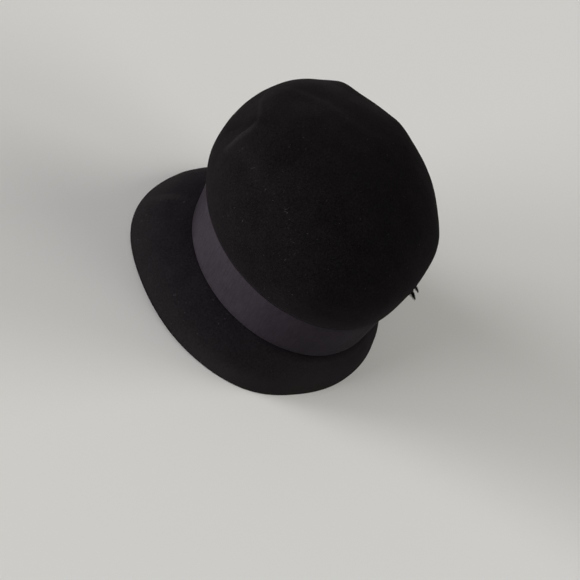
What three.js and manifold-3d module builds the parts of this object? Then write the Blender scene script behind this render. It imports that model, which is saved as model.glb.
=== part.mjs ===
// Lampshade hat of black velour felt: a deep, softly dented crown over a drooping bell brim, with a
// wide ribbon round its foot and a small spray of dark feathers on the right side.
// Millimetres, +Z up. The wearer faces -Y, so the wearer's left is +X. The hat stands on its brim,
// and the origin lies on the table below the middle of the brim's outline.
// Azimuths are degrees round the head: 0 is the front, 90 the wearer's left, 180 the back.

import * as THREE from 'three';
import { mergeVertices } from 'three/addons/utils/BufferGeometryUtils.js';
import Module from 'manifold-3d';

const wasm = await Module();
wasm.setup();

// Materials' thickness and the play between pieces that touch
const FELT = 2.4;
const RIBBON = 1.0;
const GAP = 0.3;

// Crown: an oval foot behind the ribbon, a bulge above it and a domed top that leans forwards
const HEAD = { x: -3.2, y: 15.0 };
const FOOT_HALF = { x: 86.7, y: 99.7 };
const BREAK_Z = 45;
const RIBBON_TOP_Z = 90;
const RIBBON_FLARE = 4;
const BULGE_Z = 128;
const BULGE_GROW = 12.8;
const BULGE_POWER = 1.7;
const TOP_Z = 203.6;
const DOME_POWER = 2.2;
const LEAN = { x: 4.5, y: -6.5 };
const HEART_Z = 120;

// Swells, dents and creases of the crown, seen from its heart. A row has the direction of its middle
// (azimuth and elevation), its half lengths along and across, its turn, and how far it pushes inwards.
const CROWN_FOLDS = [
  { azimuth: 55, elevation: -6.5, along: 26, across: 26, turn: 0, depth: -1.9 }, // swell, left front
  { azimuth: 25, elevation: 20, along: 24, across: 20, turn: 0, depth: 1.5 }, // flat, left front
  { azimuth: 47, elevation: 20, along: 40, across: 22, turn: 15, depth: 5.6 }, // main dent
  { azimuth: 54, elevation: 22, along: 22, across: 12, turn: 110, depth: 2.0 }, // its deepest part
  { azimuth: 67.5, elevation: 23, along: 16, across: 5, turn: 104, depth: -1.8 }, // its rear rim
  { azimuth: 48, elevation: 29.5, along: 17, across: 5, turn: 20, depth: -1.2 }, // its upper rim
  { azimuth: 30, elevation: 50, along: 26, across: 18, turn: 0, depth: 2.0 }, // flat between creases
  { azimuth: 26, elevation: 48, along: 22, across: 8, turn: 82, depth: -1.0 }, // long crease, front
  { azimuth: 14, elevation: 71, along: 26, across: 9, turn: 115, depth: -1.1 }, // long crease, top
  { azimuth: 87, elevation: 30, along: 14, across: 9, turn: 60, depth: 1.4 }, // dimple, left side
  { azimuth: -13, elevation: 34, along: 13, across: 13, turn: 0, depth: -3.3 }, // corner, front
  { azimuth: -26, elevation: 46, along: 22, across: 16, turn: 0, depth: 1.6 }, // panel, right front
  { azimuth: -34, elevation: 39, along: 20, across: 14, turn: 0, depth: -0.9 }, // edge of the panel
  { azimuth: -53, elevation: 41, along: 14, across: 14, turn: 0, depth: -1.7 }, // corner, right side
  { azimuth: -100, elevation: 31, along: 24, across: 24, turn: 0, depth: 0.5 }, // flat, right side
  { azimuth: -126, elevation: 19, along: 26, across: 26, turn: 0, depth: -1.8 }, // swell, right back
  { azimuth: -148, elevation: -2, along: 30, across: 24, turn: 0, depth: 1.7 }, // flat, back
  { azimuth: 128, elevation: 5, along: 22, across: 15, turn: 0, depth: 2.0 }, // hollow, left back
  { azimuth: 160, elevation: 2, along: 20, across: 15, turn: 0, depth: -1.2 }, // swell beside it
];

// Brim: how far its edge reaches past the ribbon and how high it lifts off the table, by azimuth
const BRIM_EDGE = [
  { azimuth: 0, reach: 40.9, lift: 0 },
  { azimuth: 30, reach: 43.0, lift: 0 },
  { azimuth: 60, reach: 43.6, lift: 1.5 },
  { azimuth: 90, reach: 33.8, lift: 2.5 },
  { azimuth: 120, reach: 26.5, lift: 1.0 },
  { azimuth: 150, reach: 19.7, lift: 0 },
  { azimuth: 180, reach: 10.2, lift: 0 },
  { azimuth: 210, reach: 11.6, lift: 0 },
  { azimuth: 240, reach: 20.2, lift: 1.5 },
  { azimuth: 270, reach: 28.2, lift: 2.5 },
  { azimuth: 300, reach: 34.5, lift: 1.5 },
  { azimuth: 330, reach: 40.2, lift: 0 },
];
const BELL_OUT = 0.64; // share of the reach where the bell's curve is pulled outwards
const BELL_DOWN = 0.25; // share of the drop at that pull
const COLLAR_RISE = 18; // height of the brim's collar inside the crown
const BEND_BEVEL = 1.4; // size of the bevel under the bend from collar to bell

// Feather spray, sewn to the ribbon by a small tab. Each row is one feather, seen from the tab: how
// far its tip lies back, up and out, how far its middle is raised, and its width.
const TAB = { azimuth: -98, z: 66, halfSpan: 4.5, halfHeight: 8, thickness: 2.6 };
const FEATHERS = [
  { back: 44.4, up: 18, out: 12.8, raise: 9, width: 6.5 },
  { back: 52.4, up: 18, out: 7.5, raise: 5, width: 7.5 },
  { back: 42, up: 27, out: 7.5, raise: 8, width: 6 },
  { back: 34, up: 33, out: 12, raise: 6, width: 5.5 },
  { back: 40, up: 6, out: 9, raise: 3, width: 5.5 },
];
// A blade's form: its thickness and how much of it is lost at the tip, how far out its middle lies and
// how wide its root is as shares, how full its outline is, and the half width of its flat faces
const BLADE = { thickness: 1.2, thinning: 0.6, middleOut: 0.75, root: 0.2, fullness: 0.7, flat: 0.4 };
const BLADE_STATIONS = 9;
const BLADE_SECTION = [
  [1, 0], [BLADE.flat, 1], [-BLADE.flat, 1], [-1, 0], [-BLADE.flat, -1], [BLADE.flat, -1],
];

// Fineness of the meshes
const COLUMNS = 60;
const FOOT_ROWS = 3;
const BULGE_ROWS = [0.03, 0.1, 0.22, 0.42, 0.7, 1]; // shares of the bulge's height
const DOME_ROWS = 12;
const POLE_CLEARANCE = 6; // degrees left between the last ring of the dome and its pole
const BELL_ROWS = 7;
const COLLAR_ROWS = 2;
const TAB_COLUMNS = 4;

const FELT_LOOK = new THREE.MeshStandardMaterial({ color: 0x17161a, roughness: 0.95, metalness: 0 });
const RIBBON_LOOK = new THREE.MeshStandardMaterial({ color: 0x3a343f, roughness: 0.7, metalness: 0 });
const FEATHER_LOOK = new THREE.MeshStandardMaterial({ color: 0x0f0e10, roughness: 0.6, metalness: 0 });

const radians = THREE.MathUtils.degToRad;

// A point on an oval round the head. Positive offset is outside the foot's half axes.
function ovalPoint(azimuth, offset, z) {
  const x = HEAD.x + (FOOT_HALF.x + offset) * Math.sin(radians(azimuth));
  const y = HEAD.y - (FOOT_HALF.y + offset) * Math.cos(radians(azimuth));
  return new THREE.Vector3(x, y, z);
}

// Direction from the crown's heart
function direction(azimuth, elevation) {
  const level = Math.cos(radians(elevation));
  return new THREE.Vector3(
    level * Math.sin(radians(azimuth)),
    -level * Math.cos(radians(azimuth)),
    Math.sin(radians(elevation)),
  );
}

// The crown before it was dented
function smoothCrown(azimuth, z) {
  const rise = (z - BREAK_Z) / (RIBBON_TOP_Z - BREAK_Z);
  let grow = RIBBON_FLARE * Math.min(rise, 1);
  if (z > RIBBON_TOP_Z) {
    const share = Math.min((z - RIBBON_TOP_Z) / (BULGE_Z - RIBBON_TOP_Z), 1);
    const round = (1 - (1 - share) ** BULGE_POWER) ** (1 / BULGE_POWER);
    grow += (BULGE_GROW - RIBBON_FLARE) * round;
  }
  let shrink = 1;
  if (z > BULGE_Z) {
    const share = (z - BULGE_Z) / (TOP_Z - BULGE_Z);
    shrink = Math.max(1 - share ** DOME_POWER, 0) ** (1 / DOME_POWER);
  }
  const lean = Math.max((z - RIBBON_TOP_Z) / (TOP_Z - RIBBON_TOP_Z), 0);
  const point = ovalPoint(azimuth, grow, z);
  point.x = HEAD.x + (point.x - HEAD.x) * shrink + LEAN.x * lean;
  point.y = HEAD.y + (point.y - HEAD.y) * shrink + LEAN.y * lean;
  return point;
}

// Pushes a point of the smooth crown by every fold, measured in arc lengths round the heart
function dent(point) {
  const heart = new THREE.Vector3(HEAD.x, HEAD.y, HEART_Z);
  const spoke = point.clone().sub(heart);
  const reach = spoke.length();
  const result = point.clone();
  for (const fold of CROWN_FOLDS) {
    const middle = direction(fold.azimuth, fold.elevation);
    const side = direction(fold.azimuth + 90, 0);
    const rise = new THREE.Vector3().crossVectors(middle, side).negate();
    const arc = middle.angleTo(spoke) * reach;
    const bearing = Math.atan2(spoke.dot(rise), spoke.dot(side)) - radians(fold.turn);
    const along = (arc * Math.cos(bearing)) / fold.along;
    const across = (arc * Math.sin(bearing)) / fold.across;
    result.addScaledVector(middle, -fold.depth * Math.exp(-along * along - across * across));
  }
  return result;
}

// The crown's outer face at an azimuth and a height of the undented crown
function crownFace(azimuth, z) {
  return dent(smoothCrown(azimuth, z));
}

// Smooth closed curve through one column of the brim's table
function brimEdge(azimuth, column) {
  const count = BRIM_EDGE.length;
  const step = (azimuth / 360) * count;
  const index = Math.floor(step) + count;
  const share = step - Math.floor(step);
  const [before, from, to, after] = [-1, 0, 1, 2].map((k) => BRIM_EDGE[(index + k) % count][column]);
  const bend = 3 * (from - to) + after - before;
  const sag = 2 * before - 5 * from + 4 * to - after;
  return from + 0.5 * share * (to - before + share * (sag + share * bend));
}

// The brim's upper face: share 0 is the break below the ribbon, 1 the edge
function bellFace(azimuth, share) {
  const reach = brimEdge(azimuth, 'reach');
  const lift = Math.max(brimEdge(azimuth, 'lift'), 0);
  const drop = BREAK_Z - lift;
  const pull = 2 * share * (1 - share);
  const out = GAP + RIBBON + reach * (pull * BELL_OUT + share * share);
  return ovalPoint(azimuth, out, BREAK_Z - drop * (pull * BELL_DOWN + share * share));
}

// One ring of points, a column at every azimuth
function ring(pointAt) {
  return Array.from({ length: COLUMNS }, (_, column) => pointAt((column * 360) / COLUMNS));
}

// Outward normals of a stack of rings that runs down the outside of a piece
function normals(rings) {
  const last = rings.length - 1;
  return rings.map((points, row) => points.map((point, column) => {
    const east = points[(column + 1) % COLUMNS].clone().sub(points[(column + COLUMNS - 1) % COLUMNS]);
    const down = rings[Math.min(row + 1, last)][column].clone().sub(rings[Math.max(row - 1, 0)][column]);
    return down.cross(east).normalize();
  }));
}

// The same stack of rings, moved along its normals
function offsetRings(rings, distance) {
  const ways = normals(rings);
  return rings.map((points, row) => points.map(
    (point, column) => point.clone().addScaledVector(ways[row][column], distance),
  ));
}

// Gives a ring the heights of another one, so that the rim between them is level
function levelRim(target, source) {
  target.forEach((point, column) => { point.z = source[column].z; });
}

// Closed mesh from rings that run down the outside and up the inside. With poles, the first and the
// last ring close to a point each, and without them the last ring joins the first.
function ringsGeometry(rings, poles = []) {
  const positions = [];
  const triangles = [];
  rings.flat().concat(poles).forEach((point) => positions.push(point.x, point.y, point.z));
  const loops = poles.length ? rings.length - 1 : rings.length;
  for (let row = 0; row < loops; row += 1) {
    for (let column = 0; column < COLUMNS; column += 1) {
      const next = (column + 1) % COLUMNS;
      const upper = row * COLUMNS;
      const lower = ((row + 1) % rings.length) * COLUMNS;
      triangles.push(upper + column, lower + column, upper + next);
      triangles.push(upper + next, lower + column, lower + next);
    }
  }
  if (poles.length) {
    const firstPole = rings.length * COLUMNS;
    const lastRing = (rings.length - 1) * COLUMNS;
    for (let column = 0; column < COLUMNS; column += 1) {
      const next = (column + 1) % COLUMNS;
      triangles.push(firstPole, column, next);
      triangles.push(firstPole + 1, lastRing + next, lastRing + column);
    }
  }
  return meshData(positions, triangles);
}

function meshData(positions, triangles) {
  const geometry = new THREE.BufferGeometry();
  geometry.setAttribute('position', new THREE.Float32BufferAttribute(positions, 3));
  geometry.setIndex(triangles);
  geometry.computeVertexNormals();
  return geometry;
}

function piece(name, geometry, look) {
  const mesh = new THREE.Mesh(geometry, look);
  mesh.name = name;
  return mesh;
}

// Heights of the crown's rings, from the top down
function crownHeights() {
  const foot = BREAK_Z + GAP;
  const heights = [];
  for (let row = 0; row <= FOOT_ROWS; row += 1) {
    heights.push(foot + ((RIBBON_TOP_Z - foot) * row) / FOOT_ROWS);
  }
  BULGE_ROWS.forEach((share) => heights.push(RIBBON_TOP_Z + (BULGE_Z - RIBBON_TOP_Z) * share));
  for (let row = 1; row <= DOME_ROWS; row += 1) {
    const angle = radians(((90 - POLE_CLEARANCE) * row) / DOME_ROWS);
    heights.push(BULGE_Z + (TOP_Z - BULGE_Z) * Math.sin(angle) ** (2 / DOME_POWER));
  }
  return heights.reverse();
}

// Crown: one blocked wall of felt, closed at the top and open at its foot
function makeCrown() {
  const outer = crownHeights().map((z) => ring((azimuth) => crownFace(azimuth, z)));
  const inner = offsetRings(outer, -FELT);
  levelRim(inner.at(-1), outer.at(-1));
  const outerPole = crownFace(0, TOP_Z);
  const innerPole = outerPole.clone().setZ(outerPole.z - FELT);
  return piece('crown', ringsGeometry([...outer, ...inner.reverse()], [outerPole, innerPole]), FELT_LOOK);
}

// Brim: a collar inside the crown's foot, a ledge under crown and ribbon, and the drooping bell
function makeBrim() {
  const collarTop = BREAK_Z + COLLAR_RISE;
  const collarOffset = -(FELT + GAP);
  const collar = [];
  for (let row = 0; row <= COLLAR_ROWS; row += 1) {
    const z = collarTop - (COLLAR_RISE * row) / COLLAR_ROWS;
    collar.push(ring((azimuth) => footPoint(azimuth, collarOffset, z)));
  }
  const bell = [];
  for (let row = 0; row <= BELL_ROWS; row += 1) {
    bell.push(ring((azimuth) => bellFace(azimuth, row / BELL_ROWS)));
  }
  const under = offsetRings(bell, -FELT);
  under[BELL_ROWS] = flatEdge(bell);
  const inside = collarOffset - FELT;
  const bend = ring((azimuth) => footPoint(azimuth, inside + BEND_BEVEL, BREAK_Z - FELT));
  const collarFoot = BREAK_Z - FELT + BEND_BEVEL;
  const back = collar.map((_, row) => ring((azimuth) => {
    const z = collarFoot + ((collarTop - collarFoot) * row) / COLLAR_ROWS;
    return footPoint(azimuth, inside, z);
  }));
  const stack = [...collar, ...bell, ...under.reverse(), bend, ...back];
  return piece('brim', ringsGeometry(stack), FELT_LOOK);
}

// A point beside the crown's foot, moved level along the oval
function footPoint(azimuth, offset, z) {
  const flare = RIBBON_FLARE * Math.max((z - BREAK_Z) / (RIBBON_TOP_Z - BREAK_Z), 0);
  return ovalPoint(azimuth, offset + flare, z);
}

// The inner ring of the brim's cut edge, level with its outer ring, so that it can rest on a table
function flatEdge(bell) {
  return normals(bell).at(-1).map((way, column) => {
    const level = new THREE.Vector3(way.x, way.y, 0);
    return bell.at(-1)[column].clone().addScaledVector(level, -FELT / level.lengthSq());
  });
}

// Band: the ribbon, drawn tight over the crown's foot
function makeBand() {
  const foot = BREAK_Z + GAP;
  const heights = [RIBBON_TOP_Z - GAP, (RIBBON_TOP_Z + foot) / 2, foot];
  const rings = heights.map((z) => ring((azimuth) => crownFace(azimuth, z)));
  const inner = offsetRings(rings, GAP);
  const outer = offsetRings(rings, GAP + RIBBON);
  levelRim(inner[0], outer[0]);
  levelRim(inner.at(-1), rings.at(-1));
  levelRim(outer.at(-1), rings.at(-1));
  return piece('band', ringsGeometry([...outer, ...inner.reverse()]), RIBBON_LOOK);
}

// A solid for joining, from a closed mesh
function solid(geometry) {
  const bare = geometry.clone();
  bare.deleteAttribute('normal');
  bare.deleteAttribute('uv');
  const merged = mergeVertices(bare);
  return new wasm.Manifold(new wasm.Mesh({
    numProp: 3,
    vertProperties: merged.attributes.position.array,
    triVerts: Uint32Array.from(merged.index.array),
  }));
}

// Tab: a small curved block that follows the ribbon's face
function makeTab() {
  const middle = crownFace(TAB.azimuth, TAB.z);
  const positions = [];
  const nearest = GAP + RIBBON + GAP;
  for (const offset of [nearest, nearest + TAB.thickness]) {
    for (const lift of [-TAB.halfHeight, TAB.halfHeight]) {
      for (let column = 0; column <= TAB_COLUMNS; column += 1) {
        const azimuth = TAB.azimuth - TAB.halfSpan + (2 * TAB.halfSpan * column) / TAB_COLUMNS;
        const point = footPoint(azimuth, offset, middle.z + lift);
        positions.push(point.x, point.y, point.z);
      }
    }
  }
  const columns = TAB_COLUMNS + 1;
  const [innerLow, innerHigh, outerLow, outerHigh] = [0, 1, 2, 3].map((k) => k * columns);
  const triangles = [];
  const quad = (a, b, c, d) => triangles.push(a, b, c, a, c, d);
  for (let column = 0; column < TAB_COLUMNS; column += 1) {
    const next = column + 1;
    quad(outerLow + column, outerLow + next, outerHigh + next, outerHigh + column);
    quad(innerLow + next, innerLow + column, innerHigh + column, innerHigh + next);
    quad(innerHigh + column, outerHigh + column, outerHigh + next, innerHigh + next);
    quad(innerLow + next, outerLow + next, outerLow + column, innerLow + column);
  }
  quad(innerLow, outerLow, outerHigh, innerHigh);
  quad(outerLow + TAB_COLUMNS, innerLow + TAB_COLUMNS, innerHigh + TAB_COLUMNS, outerHigh + TAB_COLUMNS);
  return meshData(positions, triangles);
}

// One feather: a thin pointed blade along a curve that leaves the tab and sweeps backwards
function makeFeather(feather, base, back, out) {
  const up = new THREE.Vector3(0, 0, 1);
  const place = (backward, upward, outward) => base.clone()
    .addScaledVector(back, backward)
    .addScaledVector(up, upward)
    .addScaledVector(out, outward);
  const curve = new THREE.QuadraticBezierCurve3(
    base,
    place(feather.back / 2, feather.up / 2 + feather.raise, feather.out * BLADE.middleOut),
    place(feather.back, feather.up, feather.out),
  );
  const points = [];
  for (let station = 0; station < BLADE_STATIONS; station += 1) {
    const share = station / BLADE_STATIONS;
    const middle = curve.getPoint(share);
    const tangent = curve.getTangent(share);
    const flat = new THREE.Vector3().crossVectors(tangent, out).normalize();
    const face = new THREE.Vector3().crossVectors(flat, tangent).normalize();
    const swell = Math.sin(Math.PI * (BLADE.root + (1 - BLADE.root) * share)) ** BLADE.fullness;
    const half = (feather.width / 2) * swell;
    const thick = (BLADE.thickness / 2) * (1 - BLADE.thinning * share);
    for (const [across, through] of BLADE_SECTION) {
      points.push(middle.clone().addScaledVector(flat, across * half).addScaledVector(face, through * thick));
    }
  }
  return bladeGeometry(points, base, curve.getPoint(1));
}

// Closed blade from stations of points, one section each, pointed at both ends
function bladeGeometry(points, root, tip) {
  const sides = BLADE_SECTION.length;
  const positions = [...points, root, tip].flatMap((point) => point.toArray());
  const triangles = [];
  const rootIndex = points.length;
  const lastStation = points.length - sides;
  for (let side = 0; side < sides; side += 1) {
    const next = (side + 1) % sides;
    for (let start = 0; start < lastStation; start += sides) {
      triangles.push(start + side, start + sides + side, start + next);
      triangles.push(start + next, start + sides + side, start + sides + next);
    }
    triangles.push(rootIndex, side, next);
    triangles.push(rootIndex + 1, lastStation + next, lastStation + side);
  }
  return meshData(positions, triangles);
}

// Feather spray: the blades fused to their tab
function makeFeatherTrim() {
  const base = footPoint(TAB.azimuth, GAP + RIBBON + GAP + TAB.thickness / 2, TAB.z);
  const ahead = footPoint(TAB.azimuth - 1, GAP + RIBBON + GAP + TAB.thickness / 2, TAB.z);
  const back = ahead.sub(base).setZ(0).normalize();
  const out = new THREE.Vector3(-back.y, back.x, 0);
  let spray = solid(makeTab());
  for (const feather of FEATHERS) {
    spray = spray.add(solid(makeFeather(feather, base, back, out)));
  }
  const { vertProperties, triVerts } = spray.getMesh();
  return piece('feather_trim', meshData(Array.from(vertProperties), Array.from(triVerts)), FEATHER_LOOK);
}

const hat = new THREE.Group();
hat.add(makeCrown(), makeBrim(), makeBand(), makeFeatherTrim());

export default hat;
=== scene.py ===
import math

import bmesh
import bpy
import numpy as np
from mathutils import Matrix, Vector


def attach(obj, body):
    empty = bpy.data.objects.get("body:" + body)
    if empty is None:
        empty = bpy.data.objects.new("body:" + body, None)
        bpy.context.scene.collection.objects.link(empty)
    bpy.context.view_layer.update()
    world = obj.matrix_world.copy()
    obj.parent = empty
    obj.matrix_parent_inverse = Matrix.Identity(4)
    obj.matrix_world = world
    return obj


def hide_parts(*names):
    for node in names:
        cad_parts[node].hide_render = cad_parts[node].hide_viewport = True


# Looks of the lampshade hat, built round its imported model. Metres, +Z up. The wearer faces -Y, so the
# wearer's left is +X. Azimuths go round the hat: 0 is the front, 90 the wearer's left, 180 the back.

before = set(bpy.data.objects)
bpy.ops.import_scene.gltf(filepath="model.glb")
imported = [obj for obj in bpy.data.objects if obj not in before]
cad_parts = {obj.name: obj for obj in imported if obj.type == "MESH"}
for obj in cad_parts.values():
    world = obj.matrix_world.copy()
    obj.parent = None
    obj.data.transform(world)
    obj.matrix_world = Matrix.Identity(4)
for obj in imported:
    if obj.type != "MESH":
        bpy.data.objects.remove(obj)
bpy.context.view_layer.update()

MM = 0.001
UP = np.array([0, 0, 1.0])

# Forms that the part's source states too
FELT = 2.4 * MM
RIBBON = 1.0 * MM
GAP = 0.3 * MM
FOOT_MIDDLE = np.array([-3.2, 15.0]) * MM
FOOT_HALF = np.array([86.7, 99.7]) * MM
BREAK_Z = 45 * MM
RIBBON_TOP_Z = 90 * MM
RIBBON_FLARE = 4 * MM
BULGE_Z = 128 * MM
BULGE_GROW = 12.8 * MM
BULGE_POWER = 1.7
TOP_Z = 203.6 * MM
DOME_POWER = 2.2
LEAN = np.array([4.5, -6.5]) * MM
HEART = np.array([*FOOT_MIDDLE, 120 * MM])

# Folds of the crown, seen from its heart: azimuth and elevation of the middle in degrees, half lengths
# along and across in mm, turn in degrees, and how far the fold pushes inwards in mm
CROWN_FOLDS = [
    (55, -6.5, 26, 26, 0, -1.9),  # swell, left front
    (25, 20, 24, 20, 0, 1.5),  # flat, left front
    (47, 20, 40, 22, 15, 5.6),  # main dent
    (54, 22, 22, 12, 110, 2.0),  # its deepest part
    (30, 50, 26, 18, 0, 2.0),  # flat between creases
    (87, 30, 14, 9, 60, 1.4),  # dimple, left side
    (-13, 34, 13, 13, 0, -3.3),  # corner, front
    (-26, 46, 22, 16, 0, 1.6),  # panel, right front
    (-34, 39, 20, 14, 0, -0.9),  # edge of the panel
    (-53, 41, 14, 14, 0, -1.7),  # corner, right side
    (-100, 31, 24, 24, 0, 0.5),  # flat, right side
    (-126, 19, 26, 26, 0, -1.8),  # swell, right back
    (-148, -2, 30, 24, 0, 1.7),  # flat, back
    (128, 5, 22, 15, 0, 2.0),  # hollow, left back
    (160, 2, 20, 15, 0, -1.2),  # swell beside it
]

# Creases of the crown: half width and height in mm, how strongly a highlight is painted along them,
# and places along each, in degrees as above
CREASES = [
    # rear rim of the dent
    (3.4, 1.3, 1.1, [
        (69.8, 12.5), (69.6, 16.5), (69.3, 20.4), (68, 25.2), (66.7, 29.4), (64.5, 31.5), (61.4, 33),
    ]),
    # upper rim of the dent
    (2.6, 0.8, 0.35, [
        (65, 31), (61.4, 33), (56.4, 33.2), (49.6, 31.7), (40.2, 28.5), (31.9, 26), (24, 22),
    ]),
    # soft ridge behind the dent
    (7.5, 0.7, 0.15, [(72, 22), (80, 28), (94, 28.5), (112, 31)]),
    # long crease over the top
    (4.6, 0.8, 0.25, [(31, 27), (29, 40), (28, 46), (25, 58), (21, 73), (-37, 82), (-80, 63)]),
    # painted highlight between the creases
    (13, 0, 0.22, [(64, 38), (52, 44), (42, 50), (30, 60), (10, 66)]),
    # painted light low at the back
    (13, 0, 0.3, [(138, -2), (150, -9), (170, -13), (190, -13), (210, -8)]),
]
CREASE_STEPS = 60
CREASE_FADE = 0.8  # how softly a crease fades out at its ends

# Painted shade in the dent and other hollows: folds as above, whose last value is how much darker
PAINTED_SHADE_HOLLOWS = [
    (57, 23, 22, 9, 108, 0.5),  # in the dent
    (92, 42, 17, 11, 60, 0.22),  # behind it
    (133, 8, 15, 11, 50, 0.2),  # low on the left
]

# Trail of lint: a crease as above, flat and with no painted highlight
DUST_TRAIL = (6, 0, 0, [(74, 20), (80, 28), (94, 28.5), (112, 31), (127, 29), (137.5, 13), (147, 6.5)])

# Brim: how far its edge reaches past the ribbon and how high it lifts off the table, in mm, every
# 30 degrees, and the share of the reach and of the drop at which the bell's curve bends
BRIM_REACH = [40.9, 43.0, 43.6, 33.8, 26.5, 19.7, 10.2, 11.6, 20.2, 28.2, 34.5, 40.2]
BRIM_LIFT = [0, 0, 1.5, 2.5, 1.0, 0, 0, 0, 1.5, 2.5, 1.5, 0]
BELL_OUT = 0.64
BELL_DOWN = 0.25
COLLAR_RISE = 18 * MM  # height of the collar inside the crown's foot
BEND_BEVEL = 1.4 * MM  # where the underside turns up into the collar

# Soft handling marks of the brim: azimuth in degrees, share from break to edge, half lengths round the
# brim in degrees and along the share, and height in mm
BRIM_RIDGE = (51, 0.45, 1.8, 0.28, 1.2)
BRIM_HOLLOW = (60, 0.45, 5, 0.22, -0.5)

# Paler nap of the brim, where 1 is fully pale: worn at the cut edge and how many rows from it; painted
# highlight on the ridge; painted light all round the outer part with the shares where it starts and is
# full, and in two places with their azimuth, half length in degrees and the same shares
RUBBED_CUT = (0.3, 3)
RIDGE_PAINTED_HIGHLIGHT = 0.8
OUTER_PAINTED_LIGHT = (0.5, 0.35, 1.0)
BACK_PAINTED_LIGHT = (1.2, 176, 26, 0.0, 0.3)
EDGE_PAINTED_LIGHT = (1.3, 148, 28, 0.6, 1.0)
EDGE_PAINTED_LIGHT_ROWS = (8, 14)  # how far past the edge it stays full, and where it ends
BRIM_DUST = 0.12

# Feather spray: its place, and for each feather how far its tip lies back, up and out, how far its
# middle is raised, and its width, all in mm
TAB_AZIMUTH = -98
TAB_HALF_SPAN = 4.5
TAB_Z = 66 * MM
TAB_HALF_HEIGHT = 8 * MM
TAB_THICKNESS = 2.6 * MM
FEATHERS = [
    (45.9, 18, 12.8, 9, 7),
    (54.4, 18, 7.5, 5, 9),
    (42, 27, 7.5, 8, 6),
    (34, 33, 12, 6, 5.5),
    (40, 6, 9, 3, 5.5),
]
BEND_OUT = 0.75  # how far out the middle lies, as a share of the tip's way out

# Quill: where it ends, as a share of the feather, its radius at the root and how much that shrinks
QUILL_END = 0.955
QUILL_STATIONS = 28
QUILL_SIDES = 8
QUILL_RADIUS = 0.42 * MM
QUILL_TAPER = 0.32 * MM

# Barbs of a feather: where they start, how they lean in degrees at the root and how much less at the
# tip, how their length swells along it, the splits between them, and how evenly they lie
BARB_START = 0.16
BARB_ROWS = 120
BARB_LEAN = 40
BARB_LEAN_LESS = 16
BARB_SWELL_START = 0.2
BARB_SWELL_POWER = 0.8
SPLITS = 3
SPLIT_RANGE = (0.3, 0.9)
SPLIT_REACH = 0.015
SPLIT_LEAN = 7
LEAN_SCATTER = 1.5
LIFT_SCATTER = (0.04, 0.03)
LENGTH_RANGE = (0.9, 1.05)
SIZE_SCATTER = 0.08
SPRAY_SEED = 5
BARB_SEED = 3

# One barb, as shares of its length: how far it bends, its half width and depth, their tapers, and how
# far its point stands out
BARB_STATIONS = 6
BARB_BEND = 0.10
BARB_HALF_WIDTH = 0.055
BARB_HALF_DEPTH = 0.022
BARB_WIDTH_TAPER = 0.7
BARB_DEPTH_TAPER = 0.6
BARB_POINT = 0.03

# Knot: how it narrows at its ends, the pleats of its ribbon, how square its section is, and the shares
# to which its ends are tucked in
KNOT_ROWS = 49
KNOT_COLUMNS = 64
KNOT_CLEARANCE = 0.1 * MM
KNOT_PINCH = 0.16
KNOT_SKEW = 0.05
PLEATS = 2.2
PLEAT_SLANT = 0.22
PLEAT_ROUNDNESS = 0.7
PLEAT_DEPTH = 0.28
PLEAT_DIP = 0.03
KNOT_SQUARE_OUT = 0.6
KNOT_SQUARE_UP = 0.75
KNOT_TUCKS = (0.5, 0.9)

# Fineness of the visible meshes
COLUMNS = 560
FOOT_ROWS = 6
BULGE_ROWS = 34
DOME_ROWS = 92
BULGE_CROWDING = 1.8  # how much closer the rows lie near the ribbon
POLE_CLEARANCE = 1.2  # degrees between the last row and the top
COLLAR_ROWS = 5
BELL_ROWS = 48
EDGE_ROWS = 5
INNER_STEP = 6  # the crown's inner face has every sixth row

# Unevenness of the blocked felt: length of the swells and their mean height, and where it fades out:
# above the ribbon, below the top, and on the bell as shares from break to edge
SWELL_WAVES = 26
SWELL_LENGTHS = (0.75, 1.5)  # spread of the length
CROWN_SWELLS = [(38 * MM, 0.22 * MM), (14 * MM, 0.04 * MM)]
BRIM_SWELLS = [(40 * MM, 0.25 * MM), (15 * MM, 0.04 * MM)]
BRIM_SWELL_SEED = 7
EVEN_ABOVE_RIBBON = 6 * MM
EVEN_AT_TOP = 0.6 * MM
EVEN_AT_BREAK = 0.2
EVEN_AT_EDGE = (0.8, 0.97)
EDGE_ROUNDING = 1.0 * MM

# Ribbon: thickness of the visible cloth, how its rims thin out, its ribs, the azimuths of the lap under
# the feather spray, and the length and height of its soft unevenness
CLOTH = 0.7 * MM
RIM_STEP = 0.3 * MM
RIM_THINNESS = 0.6
RIB_PITCH = 0.75 * MM
RIB_HEIGHT = 0.08 * MM
RIB_SCALLOP = 0.10 * MM
RIB_COLUMNS = 4  # points along the ribbon for each rib
BAND_ROWS = 8
LAP_START = -101
LAP_END = 265
LAP_RAMP = 3
LAP_RISE = 0.75 * MM
BAND_SWELL = (30 * MM, 0.06 * MM)
BAND_SEED = 21
PATH_STEPS = 4000

# Painted light and shade along the ribbon: where a change starts and ends, and the shade before and
# after
RIBBON_PAINTED_LIGHT = [
    (262 * MM, 308 * MM, 0.48, 1.0),  # front left
    (376 * MM, 446 * MM, 1.07, 0.78),  # left back
    (488 * MM, 512 * MM, 1.0, 0.7),  # back, towards the right
]

# Colours, linear. A tint also has its opacity.
CROWN_COLOUR = (0.0054, 0.0047, 0.0049)
# The brim's felt is painted lighter than the crown's, as painted sheen
BRIM_COLOUR_PAINTED_SHEEN = (0.0067, 0.0058, 0.0067)
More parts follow.
